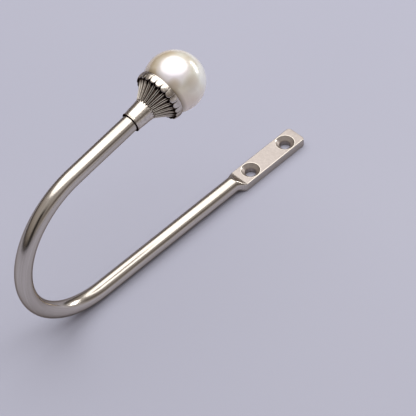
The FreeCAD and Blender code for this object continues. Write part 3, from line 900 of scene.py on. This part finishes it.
# %% [markdown]
# The cup is plated like the rod and then darkened: a brown-black patina is wiped off wherever the
# cloth reaches. Only the panels, slits and seams keep it, and painted shade is added at the bell's
# foot and under the lobes, so the dark kept with each point of the mesh decides the colour, broken
# up by specks of about 1 mm, the cloth's own marks. The eye sees a polished collar and lobes, with
# a roughness of 0.2, and between them a rougher bell, at 0.6, where the polishing wheel didn't
# reach and only the thin ridges are bright.
# %% Antique nickel
SPECKS = 900.0
SPECK_DARK = 0.5
WIPED_OFF = -0.13
BELL_WIPED_OFF = -0.14


def antique_nickel():
    material, tree, output = new_material("antique_nickel_zinc_casting")
    # patina in panels, slits and seams, with painted shade at the bell's foot and under the lobes
    kept_dark = add_node(tree, "Attribute", {"attribute_name": "patina_and_shade"})
    where = add_node(tree, "TexCoord")
    speck = add_node(tree, "TexNoise", {"Scale": SPECKS, "Detail": 5.0, "Roughness": 0.65},
                     {"Vector": where.outputs["Object"]})
    uneven = add_node(tree, "Math", {"operation": "MULTIPLY_ADD", 1: SPECK_DARK, 2: WIPED_OFF},
                      {0: speck.outputs["Fac"]})

    # The bell lies between two heights along the leg.
    height = add_node(tree, "VectorMath", {"operation": "DOT_PRODUCT", 1: tuple(ALONG_LEG)},
                      {0: where.outputs["Object"]})
    bell_middle = cup_foot.dot(ALONG_LEG) + (COLLAR_TOP + LOBE_FOOT) / 2
    bell_half = (LOBE_FOOT - COLLAR_TOP) / 2
    on_bell = add_node(tree, "Math",
                       {"operation": "COMPARE", 1: bell_middle * MM, 2: bell_half * MM},
                       {0: height.outputs["Value"]})

    wiped = add_node(tree, "Math", {"operation": "MULTIPLY_ADD", 1: BELL_WIPED_OFF},
                     {0: on_bell.outputs["Value"], 2: uneven.outputs["Value"]})
    total = add_node(tree, "Math", {"operation": "ADD", "use_clamp": True},
                     {0: kept_dark.outputs["Fac"], 1: wiped.outputs["Value"]})
    tone = add_node(tree, "ValToRGB", links={"Fac": total.outputs["Value"]},
                    stops=[(0.0, "F6F0E6"), (0.12, "D3CBC1"), (0.5, "7C6C62"), (0.95, "120D0B")])
    rough = add_node(tree, "MapRange", {"To Min": 0.2, "To Max": 0.6},
                     {"Value": on_bell.outputs["Value"]})
    bump = add_node(tree, "Bump", {"Strength": 0.3, "Distance": 0.05 * MM},
                    {"Height": speck.outputs["Fac"]})
    metal = add_node(tree, "BsdfPrincipled",
                     {"Metallic": 1.0, "Specular Tint": linear(NICKEL_EDGE_TINT)},
                     {"Base Color": tone.outputs["Color"], "Roughness": rough.outputs["Result"],
                      "Normal": bump.outputs["Normal"]})
    tree.links.new(metal.outputs["BSDF"], output.inputs["Surface"])
    return material


cup.data.materials.append(antique_nickel())
print("specks are %.1f mm across" % (1000 / SPECKS))

# %% [markdown]
# Imitation pearl is a plastic bead under several coats of lacquer with fine mica flakes, and a
# clear coat. The flakes give a broad, milky glow, so the body has a little metallic and an IOR of
# 1.9, above plastic's 1.5, and the clear coat gives a sharper highlight on top. The flakes, 0.02
# mm, are too fine to show, but the lacquer runs while it dries, in clouds of about 14 mm. Light is
# also painted on some sides: a painted tan reflection, painted shade and a painted reflection of
# the cup at the seat, painted rosy fill light underneath, a painted pinkish highlight on top and
# two painted dark reflections in front. Each such side is a direction from the ball's centre, the
# shares of the radius at which its tint starts and is full, and the tint.
# %% Pearl lacquer
LACQUER_CLOUDS = 70.0
PAINTED_LIGHT_SIDES = [
    # a painted tan reflection on the upper left edge, and painted rosy fill light underneath
    ((-0.41, 0.84, 0.29), 0.35, 1.1, "BCA583"), ((-0.45, -0.45, -0.77), 0.0, 0.9, "FCE7D2"),
    # painted shade and reflection of the cup at the seat, and a painted pinkish highlight on top
    (tuple(-ALONG_LEG), 0.38, 0.53, "9C8A6C"), ((-0.26, -0.29, 0.92), 0.82, 0.98, "F3ECF3"),
    # two painted dark reflections in front, one small and one wide
    ((-0.51, -0.56, 0.65), 0.972, 1.0, "CDBDA9"), ((-0.03, -0.85, 0.53), 0.95, 1.0, "D9CFC0")]


def pearl_lacquer():
    material, tree, output = new_material("pearl_lacquer_on_moulded_ball")
    where = add_node(tree, "TexCoord")
    cloud = add_node(tree, "TexNoise", {"Scale": LACQUER_CLOUDS, "Detail": 3.0, "Distortion": 0.6},
                     {"Vector": where.outputs["Object"]})
    tone = add_node(tree, "ValToRGB", links={"Fac": cloud.outputs["Fac"]},
                    stops=[(0.34, "DBCBAF"), (0.46, "EAE3D2"), (0.55, "EFEEE1"), (0.68, "F5F5F1")])
    # painted light, shade and reflections, each mixed into the tone towards its side
    for side, start, full, tint in PAINTED_LIGHT_SIDES:
        lean = add_node(tree, "VectorMath", {"operation": "DOT_PRODUCT", 1: side},
                        {0: where.outputs["Object"]})
        middle = sum(a * b for a, b in zip(ball_centre, side))
        share = add_node(tree, "MapRange", {"From Min": (middle + start * BALL_R) * MM,
                                            "From Max": (middle + full * BALL_R) * MM},
                         {"Value": lean.outputs["Value"]})
        tone = add_node(tree, "MixRGB", {"Color2": linear(tint)},
                        {"Fac": share.outputs["Result"], "Color1": tone.outputs["Color"]})
    skin = add_node(tree, "BsdfPrincipled",
                    {"Metallic": 0.12, "Roughness": 0.22, "IOR": 1.9, "Coat Weight": 1.0,
                     "Coat Roughness": 0.09, "Coat IOR": 1.6},
                    {"Base Color": tone.outputs["Color"]})
    tree.links.new(skin.outputs["BSDF"], output.inputs["Surface"])
    return material


ball.data.materials.append(pearl_lacquer())
print("clouds in the lacquer are %.0f mm across" % (1000 / LACQUER_CLOUDS))

# %% [markdown]
# The stud that joins rod, cup and ball is hidden inside them. Its CAD shape is right, so it only
# gets its finish: bright zinc plating, a cool grey that is cloudy in patches of 2.5 mm.
# %% Zinc-plated stud
ZINC_PATCHES = 400.0


def zinc_plated_steel():
    material, tree, output = new_material("zinc_plated_steel")
    where = add_node(tree, "TexCoord")
    cloud = add_node(tree, "TexNoise", {"Scale": ZINC_PATCHES, "Detail": 2.0},
                     {"Vector": where.outputs["Object"]})
    tone = add_node(tree, "ValToRGB", links={"Fac": cloud.outputs["Fac"]},
                    stops=[(0.3, "A9ADB3"), (0.7, "C3C6CA")])
    metal = add_node(tree, "BsdfPrincipled", {"Metallic": 1.0, "Roughness": 0.35},
                     {"Base Color": tone.outputs["Color"]})
    tree.links.new(metal.outputs["BSDF"], output.inputs["Surface"])
    return material


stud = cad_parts["finial_stud"]
stud.data.materials.clear()
stud.data.materials.append(zinc_plated_steel())
print("finish of the stud:", stud.data.materials[0].name)

# %% [markdown]
# The floor is plain and pale, at the level of the wall face, on which the hook's arm lies. It is so
# large that its far edge never shows, and it lies a hair lower than the plate's back, because two
# faces at one level render as blotches.
# %% Floor
FLOOR_HALF = 3000.0
FLOOR_CENTRE = (-60.0, 0.0, -0.02)
FLOOR_CLOUDS = 3.0


def pale_floor():
    material, tree, output = new_material("pale_floor")
    where = add_node(tree, "TexCoord")
    cloud = add_node(tree, "TexNoise", {"Scale": FLOOR_CLOUDS, "Detail": 2.0},
                     {"Vector": where.outputs["Object"]})
    tone = add_node(tree, "ValToRGB", links={"Fac": cloud.outputs["Fac"]},
                    stops=[(0.3, "B1B2C2"), (0.7, "B4B5C4")])
    skin = add_node(tree, "BsdfPrincipled", {"Roughness": 0.9, "Specular IOR Level": 0.1},
                    {"Base Color": tone.outputs["Color"]})
    tree.links.new(skin.outputs["BSDF"], output.inputs["Surface"])
    return material


square = np.array([(-1, -1, 0), (1, -1, 0), (1, 1, 0), (-1, 1, 0)], float)
floor = make_piece("floor", square * FLOOR_HALF + FLOOR_CENTRE, [(0, 1, 2, 3)])
floor.data.materials.append(pale_floor())
print("floor is %.0f m wide" % (2 * FLOOR_HALF * MM))

# %% [markdown]
# Soft studio light: one large round softbox overhead gives the rod its broad white band and the
# pearl its main highlight, and a narrow one low on the right gives the second, small highlight.
# Area lamps are used because metal and pearl show a lamp's shape, and a point or sun lamp has none.
# %% Lamps
MIDDLE = Vector((-0.06, 0.0, 0.05))


def stand(thing, place, look, roll):
    """Put a lamp or a camera at a place, looking along a direction and rolled about it."""
    thing.location = place
    thing.rotation_euler = look.to_track_quat("-Z", "Y").to_euler()
    thing.rotation_euler.rotate_axis("Z", math.radians(roll))
    bpy.context.scene.collection.objects.link(thing)


def softbox(name, place, aim, shape, size, power, roll):
    data = bpy.data.lights.new(name, "AREA")
    data.shape = shape
    data.size, data.size_y = size
    data.energy = power
    stand(bpy.data.objects.new(name, data), place, aim - Vector(place), roll)
    print(name, "softbox, %.1f x %.2f m, %.1f W" % (*size, power))


softbox("overhead", place=(0.26, 0.29, 1.45), aim=MIDDLE, shape="ELLIPSE", size=(2.6, 2.5),
        power=26.4, roll=0)
softbox("right_strip", place=(0.853, -0.176, 0.314), aim=ball_centre * MM, shape="RECTANGLE",
        size=(0.5, 0.13), power=2.0, roll=27)

# %% [markdown]
# Metal shows the room around it, so the world is a room of greys, painted by direction: how high it
# is, and which wall. The far walls are dark near the floor, which gives the rod its dark edges. The
# right wall is bright low down and high up, with a dark band between.
# %% World
RIGHT_WALL = (0.34, -0.94, 0.0)
world = bpy.data.worlds.new("studio")
bpy.context.scene.world = world
world.use_nodes = True
air = world.node_tree
air.nodes.clear()
where = add_node(air, "TexCoord")
split = add_node(air, "SeparateXYZ", links={"Vector": where.outputs["Generated"]})
far_wall = add_node(air, "ValToRGB", links={"Fac": split.outputs["Z"]},
                    stops=[(0.0, "211C19"), (0.1, "453E39"), (0.25, "8A827C"), (0.6, "B0AAA6"),
                           (1.0, "BAB7B7")])
right_wall = add_node(air, "ValToRGB", links={"Fac": split.outputs["Z"]},
                      stops=[(0.0, "C6C2C6"), (0.14, "B6B2B4"), (0.3, "6A625D"), (0.45, "6A625D"),
                             (0.7, "BDB8B5"), (1.0, "C6C3C3")])
to_right = add_node(air, "VectorMath", {"operation": "DOT_PRODUCT", 1: RIGHT_WALL},
                    {0: where.outputs["Generated"]})
on_right = add_node(air, "MapRange", {"From Min": 0.2, "From Max": 0.8},
                    {"Value": to_right.outputs["Value"]})
walls = add_node(air, "MixRGB",
                 links={"Fac": on_right.outputs["Result"], "Color1": far_wall.outputs["Color"],
                        "Color2": right_wall.outputs["Color"]})
print("bands on the far walls:", len(far_wall.color_ramp.elements),
      "and on the right wall:", len(right_wall.color_ramp.elements))

# %% [markdown]
# Beside the camera stands a narrow dark flag, as a studio uses to keep light off: it draws the dark
# streak down the bend. In the world it is one upright strip, the product of three soft steps.
# %% Dark flag
FLAG_FRONT = (-0.866, -0.5, 0.0)
FLAG_ACROSS = (0.5, -0.866, 0.0)
beside = add_node(air, "VectorMath", {"operation": "DOT_PRODUCT", 1: FLAG_ACROSS},
                  {0: where.outputs["Generated"]})
apart = add_node(air, "Math", {"operation": "ABSOLUTE"}, {0: beside.outputs["Value"]})
narrow = add_node(air, "MapRange",
                  {"From Min": 0.12, "From Max": 0.28, "To Min": 1.0, "To Max": 0.0},
                  {"Value": apart.outputs["Value"]})
ahead = add_node(air, "VectorMath", {"operation": "DOT_PRODUCT", 1: FLAG_FRONT},
                 {0: where.outputs["Generated"]})
in_front = add_node(air, "MapRange", {"From Min": 0.3, "From Max": 0.5},
                    {"Value": ahead.outputs["Value"]})
low = add_node(air, "MapRange", {"From Min": 0.62, "From Max": 0.74, "To Min": 0.95, "To Max": 0.0},
               {"Value": split.outputs["Z"]})
upright = add_node(air, "Math", {"operation": "MULTIPLY"},
                   {0: narrow.outputs["Result"], 1: in_front.outputs["Result"]})
flag = add_node(air, "Math", {"operation": "MULTIPLY"},
                {0: upright.outputs["Value"], 1: low.outputs["Result"]})
room = add_node(air, "MixRGB", {"Color2": linear("100C0A")},
                {"Fac": flag.outputs["Value"], "Color1": walls.outputs["Color"]})
glow = add_node(air, "Background", {"Strength": 1.0}, {"Color": room.outputs["Color"]})
add_node(air, "OutputWorld", links={"Surface": glow.outputs["Background"]})
print("nodes in the world:", len(air.nodes))

# %% [markdown]
# The camera's place and direction were found by fitting the CAD shape to the edges of the object in
# the photograph. A long lens, about 1 m away, keeps the perspective weak.
# %% Camera
CAMERA_PLACE = Vector((-475.19, -477.62, 746.38)) * MM
CAMERA_LOOK = Vector((0.44035, 0.48465, -0.75578))
CAMERA_ROLL = -4.10
data = bpy.data.cameras.new("camera")
data.sensor_width = 36
data.lens = 180
camera = bpy.data.objects.new("camera", data)
stand(camera, CAMERA_PLACE, CAMERA_LOOK, CAMERA_ROLL)
bpy.context.scene.camera = camera
bpy.context.scene.view_settings.view_transform = "Standard"
bpy.context.view_layer.update()
print("camera up", [round(v, 4) for v in camera.matrix_world.col[1][:3]])
